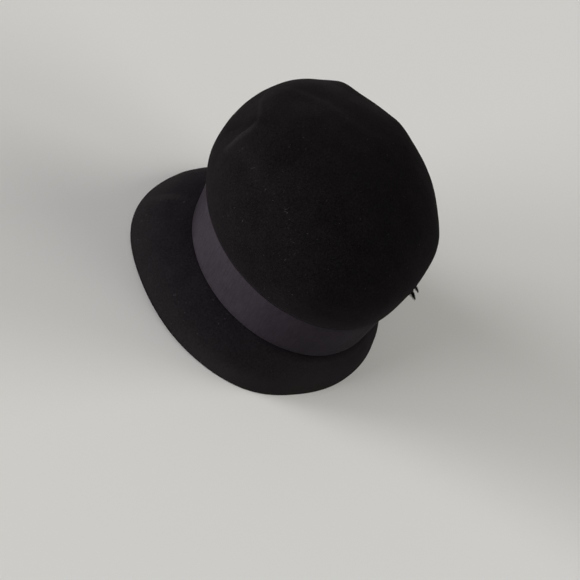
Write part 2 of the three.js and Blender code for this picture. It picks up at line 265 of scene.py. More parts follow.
# paler felt for worn nap and flecks, and for painted highlights
FELT_WEAR_AND_HIGHLIGHT = (0.0155, 0.0132, 0.0140)
FELT_SHEEN = (0.030, 0.026, 0.028, 1)
LINT_COLOUR = (0.0260, 0.0246, 0.0246)
RIBBON_COLOUR = (0.0262, 0.0211, 0.0272)
RIBBON_SHEEN = (0.07, 0.06, 0.075, 1)
FEATHER_COLOUR = (0.0052, 0.0043, 0.0046)
FEATHER_GLOSS = (0.92, 0.85, 1.0, 1)
FEATHER_SHEEN = (0.16, 0.145, 0.17, 1)
FLOOR_COLOUR = (0.86, 0.85, 0.825)

# Noise gives values round 0.5: most of them lie in the first range, and nearly all in the second
MOST_NOISE = (0.3, 0.7)
ALL_NOISE = (0.25, 0.75)

# Felt: sizes of its clouds, tufts, flecks and fibres, the shades that the first two give it, how the
# tufts break up its worn nap and painted highlights, how rare and how strong the flecks are, and how
# deep the nap looks
CLOUD_SIZE = 16 * MM
CLOUD_SHADES = (0.88, 1.12)
TUFT_SIZE = 1.7 * MM
TUFT_SHADES = (0.5, 1.5)
TUFT_WEAR_AND_HIGHLIGHT = (0.4, 1.0)
FLECK_SIZE = 1.2 * MM
FLECK_CUT = (0.64, 0.74)
FLECK_STRENGTH = 0.5
FIBRE_SIZE = 0.35 * MM
FIBRE_SHARE = 0.35
FELT_ROUGHNESS = (0.82, 0.96)
FELT_RELIEF = 0.35 * MM
FELT_RELIEF_STRENGTH = 0.6

# Lint: size and width of the winding fibres, size and rarity of the patches of them, and the grid,
# rarity and size of the specks. Dust makes both less rare.
LINT_WINDING = 7 * MM
LINT_LINE = (0.008, 0.022)
LINT_PATCH = 3.5 * MM
LINT_PATCH_CUT = (0.70, 0.75)
LINT_STRENGTH = 0.8
LINT_DUST = 0.22
SPECK_GRID = 5 * MM
SPECK_CUT = 0.985
SPECK_DUST = 0.2
SPECK_EDGE = (0.08, 0.16)

# Ribbon: pitch of the threads across its ribs, its clouds and slubs and the shades that they give it,
# and its shade and roughness between the ribs and on them
THREAD_PITCH = 0.28 * MM
THREAD_SHARE = 0.25
RIBBON_CLOUD = 18 * MM
RIBBON_CLOUD_SHADES = (0.92, 1.08)
SLUB_SIZE = 1.6 * MM
SLUB_SQUEEZE = 0.12  # width of a slub as a share of its height
SLUB_SHADES = (0.82, 1.18)
RIB_SHADES = (0.72, 1.08)
RIB_ROUGHNESS = (0.8, 0.62)
RIBBON_RELIEF = 0.06 * MM
RIBBON_RELIEF_STRENGTH = 0.6

# Feather: its streaks and the grain along its barbs
STREAK_SIZE = 2.5 * MM
STREAK_SHADES = (0.6, 1.5)
STREAK_ROUGHNESS = (0.45, 0.65)
GRAIN_SIZE = 0.3 * MM
GRAIN_RELIEF = 0.05 * MM
GRAIN_RELIEF_STRENGTH = 0.5

# Floor: half its side, and its faint clouds
FLOOR_HALF = 80.0
FLOOR_CLOUD = 0.5
FLOOR_SHADES = (0.995, 1.005)

# Soft lights: azimuth and elevation in degrees, strength, and colour. All are equally wide.
LIGHT_WIDTH = 30
DAYLIGHT = (0.98, 0.98, 1.0)
ROOM_LIGHT = (1.0, 0.99, 0.95)
LIGHTS = {
    "window_light": (65, 9, 3.6, DAYLIGHT),
    "side_light": (95, 9, 2.2, DAYLIGHT),
    "back_fill": (225, 25, 0.6, ROOM_LIGHT),
    "right_fill": (260, 20, 1.35, ROOM_LIGHT),
}
WORLD_COLOUR = (1.0, 0.99, 0.96, 1)
WORLD_STRENGTH = 0.19

# Camera: direction from which it looks, roll, distance and framing
VIEW_AZIMUTH = 135
VIEW_ELEVATION = 44
VIEW_ROLL = 36.0
VIEW_DISTANCE = 1.3
VIEW_TARGET = Vector((-3.2, 15.0, 45.0)) * MM
VIEW_SLIDE = (4.43 * MM, -25.8 * MM)
VIEW_LENS = 91.2


# Forms

def oval(azimuth, offset, z):
    """Points on an oval round the hat, azimuth in degrees. A positive offset is outside the foot."""
    angle = np.radians(azimuth)
    x = FOOT_MIDDLE[0] + (FOOT_HALF[0] + offset) * np.sin(angle)
    y = FOOT_MIDDLE[1] - (FOOT_HALF[1] + offset) * np.cos(angle)
    return np.stack(np.broadcast_arrays(x, y, z), axis=-1)


def foot_point(azimuth, offset, z):
    """Points beside the crown's foot, moved level along the oval."""
    flare = RIBBON_FLARE * np.maximum((z - BREAK_Z) / (RIBBON_TOP_Z - BREAK_Z), 0)
    return oval(azimuth, offset + flare, z)


def direction(azimuth, elevation):
    """The way towards an azimuth and an elevation, both in degrees, with length 1."""
    level = math.cos(math.radians(elevation))
    east = math.sin(math.radians(azimuth))
    south = math.cos(math.radians(azimuth))
    return np.array([level * east, -level * south, math.sin(math.radians(elevation))])


def smooth_crown(azimuth, z):
    """The crown before it was dented."""
    grow = RIBBON_FLARE * np.minimum((z - BREAK_Z) / (RIBBON_TOP_Z - BREAK_Z), 1)
    share = np.clip((z - RIBBON_TOP_Z) / (BULGE_Z - RIBBON_TOP_Z), 0, 1)
    rounded = (1 - (1 - share) ** BULGE_POWER) ** (1 / BULGE_POWER)
    grow = grow + (BULGE_GROW - RIBBON_FLARE) * rounded
    dome = np.clip((z - BULGE_Z) / (TOP_Z - BULGE_Z), 0, 1)
    shrink = (1 - dome ** DOME_POWER) ** (1 / DOME_POWER)
    lean = np.maximum((z - RIBBON_TOP_Z) / (TOP_Z - RIBBON_TOP_Z), 0)
    points = oval(azimuth, grow, z)
    for axis, middle in enumerate(FOOT_MIDDLE):
        points[..., axis] = middle + (points[..., axis] - middle) * shrink + LEAN[axis] * lean
    return points


def fold_shares(points, fold):
    """How strongly one fold acts at points, from 0 to 1, and the direction of its middle."""
    azimuth, elevation, along, across, turn, _ = fold
    spokes = points - HEART
    reach = np.linalg.norm(spokes, axis=-1)
    middle = direction(azimuth, elevation)
    side = direction(azimuth + 90, 0)
    rise = -np.cross(middle, side)
    arc = np.arccos(np.clip(spokes @ middle / reach, -1, 1)) * reach
    bearing = np.arctan2(spokes @ rise, spokes @ side) - math.radians(turn)
    lengthwise = arc * np.cos(bearing) / (along * MM)
    crosswise = arc * np.sin(bearing) / (across * MM)
    return np.exp(-lengthwise ** 2 - crosswise ** 2), middle


def crease_shares(points, crease):
    """How strongly one crease acts at points, from 0 to 1."""
    half_width, _, _, places = crease
    ways = np.array([direction(azimuth, elevation) for azimuth, elevation in places])
    steps = np.linspace(0, len(places) - 1, CREASE_STEPS)
    line = np.stack([np.interp(steps, range(len(places)), ways[:, axis]) for axis in range(3)], axis=1)
    line /= np.linalg.norm(line, axis=1, keepdims=True)
    spokes = points - HEART
    reach = np.linalg.norm(spokes, axis=-1)
    closeness = spokes @ line.T / reach[..., None]
    arc = np.arccos(np.clip(closeness.max(axis=-1), -1, 1)) * reach
    share = closeness.argmax(axis=-1) / (CREASE_STEPS - 1)
    fade = np.sin(math.pi * share) ** CREASE_FADE
    return fade * np.exp(-(arc / (half_width * MM)) ** 2)


def crown_face(azimuth, z):
    """The crown's outer face at an azimuth and a height of the undented crown."""
    smooth = smooth_crown(azimuth, z)
    result = smooth.copy()
    for fold in CROWN_FOLDS:
        share, middle = fold_shares(smooth, fold)
        result -= share[..., None] * middle * fold[5] * MM
    spokes = smooth - HEART
    outward = spokes / np.linalg.norm(spokes, axis=-1, keepdims=True)
    for crease in CREASES:
        result += crease_shares(smooth, crease)[..., None] * outward * crease[1] * MM
    return result


def brim_edge(azimuth, table):
    """Smooth closed curve through one of the brim's tables."""
    table = np.array(table)
    step = azimuth / 360 * len(table)
    index = np.floor(step).astype(int)
    share = step - index
    before, here, there, after = (table[(index + k) % len(table)] for k in (-1, 0, 1, 2))
    bend = 3 * (here - there) + after - before
    sag = 2 * before - 5 * here + 4 * there - after
    return here + 0.5 * share * (there - before + share * (sag + share * bend))


def bell_face(azimuth, share):
    """The brim's upper face: share 0 is the break below the ribbon, 1 the edge."""
    reach = brim_edge(azimuth, BRIM_REACH) * MM
    lift = np.maximum(brim_edge(azimuth, BRIM_LIFT), 0) * MM
    drop = BREAK_Z - lift
    pull = 2 * share * (1 - share)
    out = GAP + RIBBON + reach * (pull * BELL_OUT + share ** 2)
    return oval(azimuth, out, BREAK_Z - drop * (pull * BELL_DOWN + share ** 2))


def grid_normals(grid, closed=True):
    """Outward normals of rows that run down a face, with columns towards rising azimuth."""
    if closed:
        east = np.roll(grid, -1, axis=1) - np.roll(grid, 1, axis=1)
    else:
        east = np.gradient(grid, axis=1)
    ways = np.cross(np.gradient(grid, axis=0), east)
    return ways / np.linalg.norm(ways, axis=-1, keepdims=True)


def swells(points, length, seed):
    """Smooth seeded unevenness with a mean height of 1: plane waves of about the given length."""
    draw = np.random.default_rng(seed)
    ways = draw.normal(size=(SWELL_WAVES, 3))
    ways /= np.linalg.norm(ways, axis=1, keepdims=True)
    ways *= 2 * math.pi / (length * draw.uniform(*SWELL_LENGTHS, (SWELL_WAVES, 1)))
    phases = draw.uniform(0, 2 * math.pi, SWELL_WAVES)
    return np.sin(points @ ways.T + phases).sum(axis=-1) * math.sqrt(2 / SWELL_WAVES)


def ease(value, low, high):
    """0 below low, 1 above high, and smooth between them."""
    share = np.clip((value - low) / (high - low), 0, 1)
    return share * share * (3 - 2 * share)


# Meshes

def grid_faces(rows, columns, wrap_rows=False, wrap_columns=True):
    """Quads of a grid of points whose rows run down the outside of a piece."""
    downs = np.arange(rows if wrap_rows else rows - 1)[:, None]
    here = np.arange(columns if wrap_columns else columns - 1)[None, :]
    after = (here + 1) % columns
    upper = downs * columns
    lower = (downs + 1) % rows * columns
    quads = np.stack([upper + here, lower + here, lower + after, upper + after], axis=-1)
    return quads.reshape(-1, 4).tolist()


def fan_faces(pole, first, columns, reverse=False):
    """Triangles from a pole to a ring of points."""
    here = np.arange(columns)
    after = (here + 1) % columns
    pair = (first + after, first + here) if reverse else (first + here, first + after)
    return np.stack([np.full(columns, pole), *pair], axis=-1).tolist()


def make_piece(name, points, faces, material):
    """A smooth piece whose mesh lies in its place, with the object at the origin."""
    mesh = bpy.data.meshes.new(name)
    mesh.from_pydata(np.reshape(points, (-1, 3)).tolist(), [], faces)
    mesh.polygons.foreach_set("use_smooth", [True] * len(mesh.polygons))
    mesh.materials.append(material)
    piece = bpy.data.objects.new(name, mesh)
    bpy.context.scene.collection.objects.link(piece)
    return piece


def capped_stack(name, rings, poles, material):
    """Closed piece from a stack of rings with a pole at each end, normals turned outwards."""
    rows, columns = rings.shape[:2]
    points = np.concatenate([rings.reshape(-1, 3), np.array(poles)])
    faces = grid_faces(rows, columns)
    faces += fan_faces(rows * columns, 0, columns)
    faces += fan_faces(rows * columns + 1, (rows - 1) * columns, columns, reverse=True)
    piece = make_piece(name, points, faces, material)
    shape = bmesh.new()
    shape.from_mesh(piece.data)
    bmesh.ops.recalc_face_normals(shape, faces=shape.faces)
    shape.to_mesh(piece.data)
    shape.free()
    return piece


def store(piece, name, values, kind="FLOAT"):
    """Keeps one value for each point of a piece's mesh."""
    layer = piece.data.attributes.new(name, kind, "POINT")
    field = "value" if kind == "FLOAT" else "vector"
    layer.data.foreach_set(field, np.ravel(values).astype(np.float32))


def store_uv(piece, flat):
    """Keeps a flat place in metres for each point, as the piece's UV map."""
    corners = np.empty(len(piece.data.loops), dtype=np.int32)
    piece.data.loops.foreach_get("vertex_index", corners)
    layer = piece.data.uv_layers.new(name="UVMap")
    layer.data.foreach_set("uv", np.reshape(flat, (-1, 2))[corners].astype(np.float32).ravel())


def join_pieces(name, pieces):
    """Makes one piece of several."""
    bpy.ops.object.select_all(action="DESELECT")
    for piece in pieces:
        piece.select_set(True)
    bpy.context.view_layer.objects.active = pieces[0]
    bpy.ops.object.join()
    joined = bpy.context.view_layer.objects.active
    joined.name = name
    joined.data.name = name
    return joined


# Node trees

def add_node(tree, kind, inputs=(), **settings):
    """Adds a node. An input is a plain value, or an output socket to link."""
    made = tree.nodes.new(kind)
    for key, value in settings.items():
        setattr(made, key, value)
    for key, value in dict(inputs).items():
        if isinstance(value, bpy.types.NodeSocket):
            tree.links.new(value, made.inputs[key])
        else:
            made.inputs[key].default_value = value
    return made


def maths(tree, operation, first, second=0.0, third=0.0):
    """The result of one sum on numbers or sockets."""
    inputs = {0: first, 1: second, 2: third}
    return add_node(tree, "ShaderNodeMath", inputs, operation=operation).outputs[0]


def spread(tree, value, from_low, from_high, to_low, to_high):
    """Maps a value from one range to another, held inside it."""
    inputs = {0: value, 1: from_low, 2: from_high, 3: to_low, 4: to_high}
    return add_node(tree, "ShaderNodeMapRange", inputs).outputs[0]


def mixed(tree, share, first, second):
    """Mixes two colours. A colour is three numbers, or a socket."""
    ends = [end if isinstance(end, bpy.types.NodeSocket) else (*end, 1) for end in (first, second)]
    inputs = {0: share, 6: ends[0], 7: ends[1]}
    return add_node(tree, "ShaderNodeMix", inputs, data_type="RGBA").outputs[2]


def noise(tree, place, size, detail=2.0, roughness=0.5):
    """Noise with features of about the given size in metres."""
    inputs = {"Vector": place, "Scale": 1 / size, "Detail": detail, "Roughness": roughness}
    return add_node(tree, "ShaderNodeTexNoise", inputs).outputs["Fac"]


def stored(tree, name):
    """A value kept on the mesh."""
    return add_node(tree, "ShaderNodeAttribute", attribute_name=name).outputs["Fac"]


def new_material(name, settings):
    """A material with its own tree and shader, and the same values all over set on the shader."""
    material = bpy.data.materials.new(name)
    material.use_nodes = True
    tree = material.node_tree
    shader = tree.nodes["Principled BSDF"]
    for key, value in settings.items():
        shader.inputs[key].default_value = value
    return material, tree, shader


def tinted(tree, colour, shade):
    """A colour made darker or lighter by a shade."""
    inputs = {0: colour, 3: shade}
    return add_node(tree, "ShaderNodeVectorMath", inputs, operation="SCALE").outputs[0]


def bump(tree, shader, height, distance, strength):
    """Fine relief too small for the mesh."""
    inputs = {"Height": height, "Distance": distance, "Strength": strength}
    made = add_node(tree, "ShaderNodeBump", inputs)
    tree.links.new(made.outputs[0], shader.inputs["Normal"])


# Finishes

def felt_material(name, colour):
    """Black velour felt: a matt short nap with soft mottling, worn paler at the cut edge, with painted
    highlights on creases and edges and painted shade in hollows.
    """
    material, tree, shader = new_material(name, {
        "Specular IOR Level": 0.01,
        "Sheen Weight": 0.6,
        "Sheen Roughness": 0.45,
        "Sheen Tint": FELT_SHEEN,
    })
    place = add_node(tree, "ShaderNodeTexCoord").outputs["Object"]
    cloud = noise(tree, place, CLOUD_SIZE, detail=3)
    tuft = noise(tree, place, TUFT_SIZE, detail=3, roughness=0.65)
    fleck = noise(tree, place, FLECK_SIZE, detail=1)
    fibre = noise(tree, place, FIBRE_SIZE, detail=2)
    tufted = spread(tree, tuft, *MOST_NOISE, *TUFT_WEAR_AND_HIGHLIGHT)
    # Paler where the nap is worn and where highlights are painted
    rubbed = maths(tree, "MULTIPLY", stored(tree, "rubbed"), tufted)
    cloudy = spread(tree, cloud, *MOST_NOISE, *CLOUD_SHADES)
    mottled = spread(tree, tuft, *ALL_NOISE, *TUFT_SHADES)
    # Painted shade in the crown's hollows
    lit = maths(tree, "SUBTRACT", 1.0, stored(tree, "hollow"))
    shade = maths(tree, "MULTIPLY", maths(tree, "MULTIPLY", cloudy, mottled), lit)
    base = mixed(tree, rubbed, tinted(tree, colour, shade), FELT_WEAR_AND_HIGHLIGHT)
    flecked = spread(tree, fleck, *FLECK_CUT, 0.0, FLECK_STRENGTH)
    base = mixed(tree, flecked, base, FELT_WEAR_AND_HIGHLIGHT)
    base = mixed(tree, lint_share(tree, place), base, LINT_COLOUR)
    tree.links.new(base, shader.inputs["Base Color"])
    tree.links.new(spread(tree, tuft, *MOST_NOISE, *FELT_ROUGHNESS), shader.inputs["Roughness"])
    height = maths(tree, "MULTIPLY_ADD", fibre, FIBRE_SHARE, tuft)
    bump(tree, shader, height, FELT_RELIEF, FELT_RELIEF_STRENGTH)
    return material


def lint_share(tree, place):
    """Sparse short fibres and specks of lint, denser where the piece says that it is dusty."""
    dust = stored(tree, "dust")
    winding = noise(tree, place, LINT_WINDING, detail=1)
    aside = maths(tree, "ABSOLUTE", maths(tree, "SUBTRACT", winding, 0.5))
    line = spread(tree, aside, *LINT_LINE, 1.0, 0.0)
    patches = maths(tree, "MULTIPLY_ADD", dust, LINT_DUST, noise(tree, place, LINT_PATCH, detail=1))
    fibre = maths(tree, "MULTIPLY", line, spread(tree, patches, *LINT_PATCH_CUT, 0.0, LINT_STRENGTH))
    inputs = {"Vector": place, "Scale": 1 / SPECK_GRID, "Randomness": 1.0}
    cells = add_node(tree, "ShaderNodeTexVoronoi", inputs, feature="F1")
    drawn = add_node(tree, "ShaderNodeSeparateColor", {0: cells.outputs["Color"]}).outputs[0]
    cut = maths(tree, "MULTIPLY_ADD", dust, -SPECK_DUST, SPECK_CUT)
    chosen = maths(tree, "GREATER_THAN", drawn, cut)
    speck = spread(tree, cells.outputs["Distance"], *SPECK_EDGE, 1.0, 0.0)
    return maths(tree, "MAXIMUM", fibre, maths(tree, "MULTIPLY", chosen, speck))


def ribbon_material():
    """Purple charcoal grosgrain: fine upright ribs with threads across them, and painted light and
    shade along its length.
    """
    material, tree, shader = new_material("ribbon", {
        "Specular IOR Level": 0.04,
        "Sheen Weight": 0.1,
        "Sheen Roughness": 0.4,
        "Sheen Tint": RIBBON_SHEEN,
    })
    coordinates = add_node(tree, "ShaderNodeTexCoord")
    flat = add_node(tree, "ShaderNodeSeparateXYZ", {0: coordinates.outputs["UV"]})
    along, across = flat.outputs[0], flat.outputs[1]
    turn = maths(tree, "MULTIPLY", along, 2 * math.pi / RIB_PITCH)
    crest = maths(tree, "MULTIPLY_ADD", maths(tree, "COSINE", turn), 0.5, 0.5)
    thread_turn = maths(tree, "MULTIPLY", across, 2 * math.pi / THREAD_PITCH)
    thread = maths(tree, "MULTIPLY_ADD", maths(tree, "SINE", thread_turn), 0.5, 0.5)
    cloud = noise(tree, coordinates.outputs["Object"], RIBBON_CLOUD, detail=3)
    shorter = maths(tree, "MULTIPLY", across, SLUB_SQUEEZE)
    squeezed = add_node(tree, "ShaderNodeCombineXYZ", {0: along, 1: shorter}).outputs[0]
    slub = noise(tree, squeezed, SLUB_SIZE, detail=3)
    shade = spread(tree, crest, 0.0, 1.0, *RIB_SHADES)
    shade = maths(tree, "MULTIPLY", shade, spread(tree, cloud, *MOST_NOISE, *RIBBON_CLOUD_SHADES))
    shade = maths(tree, "MULTIPLY", shade, spread(tree, slub, *ALL_NOISE, *SLUB_SHADES))
    # Painted light and shade along the ribbon's length
    for painted_change in RIBBON_PAINTED_LIGHT:
        shade = maths(tree, "MULTIPLY", shade, spread(tree, along, *painted_change))
    tree.links.new(tinted(tree, RIBBON_COLOUR, shade), shader.inputs["Base Color"])
    tree.links.new(spread(tree, crest, 0.0, 1.0, *RIB_ROUGHNESS), shader.inputs["Roughness"])
    height = maths(tree, "MULTIPLY_ADD", thread, THREAD_SHARE, crest)
    bump(tree, shader, height, RIBBON_RELIEF, RIBBON_RELIEF_STRENGTH)
    return material


def feather_material():
    """Nearly black feather with a slight gloss along its barbs."""
    material, tree, shader = new_material("feather", {
        "Specular IOR Level": 0.4,
        "Specular Tint": FEATHER_GLOSS,
        "Sheen Weight": 0.09,
        "Sheen Tint": FEATHER_SHEEN,
    })
    place = add_node(tree, "ShaderNodeTexCoord").outputs["Object"]
    streak = noise(tree, place, STREAK_SIZE, detail=3)
    grain = noise(tree, place, GRAIN_SIZE, detail=2)
    shade = spread(tree, streak, *MOST_NOISE, *STREAK_SHADES)
    tree.links.new(tinted(tree, FEATHER_COLOUR, shade), shader.inputs["Base Color"])
    tree.links.new(spread(tree, streak, *MOST_NOISE, *STREAK_ROUGHNESS), shader.inputs["Roughness"])
    bump(tree, shader, grain, GRAIN_RELIEF, GRAIN_RELIEF_STRENGTH)
    return material


def floor_material():
    """Matt pale paper, very nearly even."""
    material, tree, shader = new_material("floor", {"Specular IOR Level": 0.1, "Roughness": 0.95})
    place = add_node(tree, "ShaderNodeTexCoord").outputs["Object"]
    cloud = noise(tree, place, FLOOR_CLOUD, detail=2)
    shade = spread(tree, cloud, *MOST_NOISE, *FLOOR_SHADES)
    tree.links.new(tinted(tree, FLOOR_COLOUR, shade), shader.inputs["Base Color"])
    return material


# Crown

def crown_heights():
    """Heights of the crown's rows, from the top down."""
    foot = np.linspace(BREAK_Z + GAP, RIBBON_TOP_Z, FOOT_ROWS, endpoint=False)
    bulge_shares = np.linspace(0, 1, BULGE_ROWS, endpoint=False) ** BULGE_CROWDING
    bulge = RIBBON_TOP_Z + (BULGE_Z - RIBBON_TOP_Z) * bulge_shares
    angles = np.radians(np.linspace(0, 90 - POLE_CLEARANCE, DOME_ROWS))
    dome = BULGE_Z + (TOP_Z - BULGE_Z) * np.sin(angles) ** (2 / DOME_POWER)
    return np.concatenate([foot, bulge, dome])[::-1]


def unevenness(points, kinds, first_seed):
    """How far the felt stands proud of its smooth form at points."""
    return sum(
        height * swells(points, length, first_seed + index)
        for index, (length, height) in enumerate(kinds)
    )


def make_crown(material):
    """One blocked wall of felt, closed at the top and open at its foot."""
    azimuths = np.arange(COLUMNS) * 360 / COLUMNS
    heights = crown_heights()[:, None]
    blocked = crown_face(azimuths[None, :], heights)
    above_ribbon = ease(heights, RIBBON_TOP_Z, RIBBON_TOP_Z + EVEN_ABOVE_RIBBON)
    below_top = 1 - ease(heights, TOP_Z - EVEN_AT_TOP, TOP_Z)
    uneven = unevenness(blocked, CROWN_SWELLS, 0)
    ways = grid_normals(blocked)
    outer = blocked + ways * (uneven * above_ribbon * below_top)[..., None]
    inner = (blocked - ways * FELT)[::-INNER_STEP]
    inner[0, :, 2] = outer[-1, :, 2]
    pole = crown_face(np.array(0.0), np.array(TOP_Z))
    inner_pole = pole - np.array([0, 0, FELT])
    points = np.concatenate([outer.reshape(-1, 3), inner.reshape(-1, 3), [pole, inner_pole]])
    rows = len(outer) + len(inner)
    faces = grid_faces(rows, COLUMNS)
    faces += fan_faces(rows * COLUMNS, 0, COLUMNS)
    faces += fan_faces(rows * COLUMNS + 1, (rows - 1) * COLUMNS, COLUMNS, reverse=True)
    crown = make_piece("felt_crown", points, faces, material)
    smooth = smooth_crown(azimuths[None, :], heights)
    # Painted highlights along the creases
    rubbed = sum(crease[2] * crease_shares(smooth, crease) for crease in CREASES)
    # Painted shade in the dent and the hollows
    hollow = sum(dark[-1] * fold_shares(smooth, dark)[0] for dark in PAINTED_SHADE_HOLLOWS)
    dust = crease_shares(smooth, DUST_TRAIL)
    for name, values in (("rubbed", rubbed), ("hollow", hollow), ("dust", dust)):
        store(crown, name, np.concatenate([np.ravel(values), np.zeros(len(points) - values.size)]))
    return crown


# Brim

def rounded_corner(before, corner, after, rows):
    """Rows of points on a short curve from before to after, pulled towards the corner."""
    shares = np.linspace(0, 1, rows)[:, None, None]
    return (1 - shares) ** 2 * before + 2 * shares * (1 - shares) * corner + shares ** 2 * after


def towards(start, end, distance):
    """Points that lie a distance from start on the way to end."""
    way = end - start
    return start + way * distance / np.linalg.norm(way, axis=-1, keepdims=True)


def mark_shares(azimuths, shares, mark):
    """How strongly one handling mark acts on the bell, from 0 to 1."""
    azimuth, middle, half_turn, half_share, _ = mark
    turn = (azimuths - azimuth + 180) % 360 - 180
    return np.exp(-(turn / half_turn) ** 2 - ((shares - middle) / half_share) ** 2)


def painted_light_shares(azimuths, shares, place):
    """How strongly light is painted onto the nap in one place of the bell."""
    strength, azimuth, half_turn, start, full = place
    return strength * np.exp(-((azimuths - azimuth) / half_turn) ** 2) * ease(shares, start, full)


def make_brim(material):
    """A collar inside the crown's foot, a ledge under crown and ribbon, and the drooping bell."""
    azimuths = np.arange(COLUMNS) * 360 / COLUMNS
    collar_top = BREAK_Z + COLLAR_RISE
    collar_offset = -(FELT + GAP)
    collar = foot_point(azimuths, collar_offset, np.linspace(collar_top, BREAK_Z, COLLAR_ROWS)[:, None])
    shares = np.linspace(0, 1, BELL_ROWS)[:, None]
    bell = bell_face(azimuths, shares)
    ways = grid_normals(bell)
    under = bell - ways * FELT
    level = ways[-1] * np.array([1, 1, 0])
    cut_outer = bell[-1]
    cut_inner = cut_outer - level * (FELT / (level ** 2).sum(axis=-1, keepdims=True))
    away = ease(shares, 0.0, EVEN_AT_BREAK) * (1 - ease(shares, *EVEN_AT_EDGE))
    uneven = unevenness(bell, BRIM_SWELLS, BRIM_SWELL_SEED)
    for mark in (BRIM_RIDGE, BRIM_HOLLOW):
        uneven = uneven + mark[-1] * MM * mark_shares(azimuths, shares, mark)
    bell = bell + ways * (uneven * away)[..., None]
    below_edge = towards(cut_outer, cut_inner, EDGE_ROUNDING)
    above_foot = towards(cut_inner, cut_outer, EDGE_ROUNDING)
    outer_corner = rounded_corner(bell[-2], cut_outer, below_edge, EDGE_ROWS)
    inner_corner = rounded_corner(above_foot, cut_inner, under[-2], EDGE_ROWS)
    underside = under[-3::-2]
    inside = collar_offset - FELT
    bend = foot_point(azimuths, inside + BEND_BEVEL, np.array([[BREAK_Z - FELT]]))
    back_z = np.linspace(BREAK_Z - FELT + BEND_BEVEL, collar_top, COLLAR_ROWS)[:, None]
    back = foot_point(azimuths, inside, back_z)
    stack = np.concatenate([collar, bell[:-2], outer_corner, inner_corner, underside, bend, back])
    brim = make_piece("felt_brim", stack, grid_faces(len(stack), COLUMNS, wrap_rows=True), material)
    edge_row = len(collar) + len(bell) - 2
    face = slice(len(collar), edge_row)
    face_shares = shares[:-2]
    from_cut = np.abs(np.arange(len(stack)) - edge_row - EDGE_ROWS)
    # Real wear at the cut edge; painted highlight on the ridge and painted light on the outer part, the
    # back and the lower edge
    strength, reach = RUBBED_CUT
    rubbed = strength * np.exp(-(from_cut / reach) ** 2)[:, None] + np.zeros(COLUMNS)
    strength, start, full = OUTER_PAINTED_LIGHT
    rubbed[face] += strength * ease(face_shares, start, full)
    rubbed[face] += RIDGE_PAINTED_HIGHLIGHT * mark_shares(azimuths, face_shares, BRIM_RIDGE)
    rubbed[face] += painted_light_shares(azimuths, face_shares, BACK_PAINTED_LIGHT)
    knots = [0, len(bell), *(len(bell) + rows for rows in EDGE_PAINTED_LIGHT_ROWS)]
    past_collar = np.arange(len(stack) - len(collar))
    over_edge = np.interp(past_collar, knots, [0, 1, 1, 0])[:, None]
    rubbed[len(collar):] += painted_light_shares(azimuths, over_edge, EDGE_PAINTED_LIGHT)
    store(brim, "rubbed", rubbed)
    dust = np.zeros(stack.shape[:2])
    dust[face] = BRIM_DUST
    store(brim, "dust", dust)
    return brim


# Band

def geometry_tree(name, inputs):
    """An empty geometry tree with named inputs. Returns it, its input node and the inputs' keys."""
    tree = bpy.data.node_groups.new(name, "GeometryNodeTree")
    tree.interface.new_socket("Geometry", in_out="INPUT", socket_type="NodeSocketGeometry")
    tree.interface.new_socket("Geometry", in_out="OUTPUT", socket_type="NodeSocketGeometry")
    keys = {}
    for label, kind in inputs.items():
        keys[label] = tree.interface.new_socket(label, in_out="INPUT", socket_type=kind).identifier
    return tree, tree.nodes.new("NodeGroupInput"), keys


def finish_tree(tree, geometry, material):
    """Ends a geometry tree: real geometry in place of instances, and its material."""
    real = add_node(tree, "GeometryNodeRealizeInstances", {0: geometry}).outputs[0]
    inputs = {"Geometry": real, "Material": material}
    dressed = add_node(tree, "GeometryNodeSetMaterial", inputs).outputs[0]
    tree.links.new(dressed, tree.nodes.new("NodeGroupOutput").inputs[0])


def apply_tree(piece, tree, keys, values):
    """Runs a geometry tree on a piece and keeps the result as its plain mesh."""
    modifier = piece.modifiers.new(tree.name, "NODES")
    modifier.node_group = tree
    for label, value in values.items():
        modifier[keys[label]] = value
    depsgraph = bpy.context.evaluated_depsgraph_get()
    result = bpy.data.meshes.new_from_object(piece.evaluated_get(depsgraph), depsgraph=depsgraph)
    piece.modifiers.clear()
    piece.data = result
    result.name = piece.name


def kept_field(tree, name, kind="FLOAT"):
    """A value kept on the mesh, read by a geometry tree."""
    return add_node(tree, "GeometryNodeInputNamedAttribute", {"Name": name}, data_type=kind).outputs[0]


def rib_tree(material):
    """Raises a ribbon into upright ribs, and scallops its edges in step with them."""
    tree, start, keys = geometry_tree("ribs", {
        "Pitch": "NodeSocketFloat",
        "Height": "NodeSocketFloat",
        "Scallop": "NodeSocketFloat",
    })
    turns = maths(tree, "DIVIDE", kept_field(tree, "along"), start.outputs["Pitch"])
    crest = maths(tree, "COSINE", maths(tree, "MULTIPLY", turns, 2 * math.pi))
    crest = maths(tree, "MULTIPLY_ADD", crest, 0.5, 0.5)
    height = maths(tree, "MULTIPLY", start.outputs["Height"], kept_field(tree, "outside"))
    scallop = maths(tree, "MULTIPLY", start.outputs["Scallop"], kept_field(tree, "rim"))
    lift = maths(tree, "MULTIPLY", crest, height)
    rise = maths(tree, "MULTIPLY", crest, scallop)
    outward = kept_field(tree, "outward", "FLOAT_VECTOR")
    push = add_node(tree, "ShaderNodeVectorMath", {0: outward, 3: lift}, operation="SCALE").outputs[0]
    upward = add_node(tree, "ShaderNodeCombineXYZ", {2: rise}).outputs[0]
    offset = add_node(tree, "ShaderNodeVectorMath", {0: push, 1: upward}, operation="ADD").outputs[0]
    inputs = {"Geometry": start.outputs[0], "Offset": offset}
    moved = add_node(tree, "GeometryNodeSetPosition", inputs).outputs[0]
    finish_tree(tree, moved, material)
    return tree, keys


